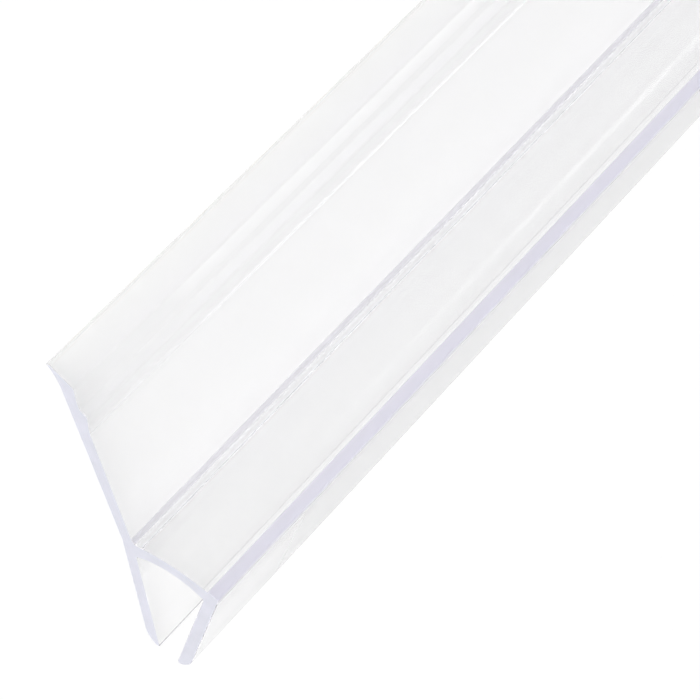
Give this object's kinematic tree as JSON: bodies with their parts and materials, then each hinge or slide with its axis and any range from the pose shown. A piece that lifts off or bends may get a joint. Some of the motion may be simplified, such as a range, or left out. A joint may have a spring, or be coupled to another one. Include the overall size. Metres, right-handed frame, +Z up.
{
  "type": "shower door seal strip",
  "caption": "Clear extruded shower door seal: a springy clip for the edge of a glass door with a long ribbed wiping leaf.",
  "frame": {"origin": "centre of the strip's bounding box, on the floor that it lies on", "axes": "+X along the strip, +Y from the leaf's tip to the clip's mouth, +Z up"},
  "size_m": [1, 0.0348, 0.0113],
  "materials": {
    "clear_plastic": "clear, glossy, with faint lengthwise die lines"
  },
  "bodies": {
    "root": {"seal_strip": "clear_plastic"}
  },
  "joints": []
}
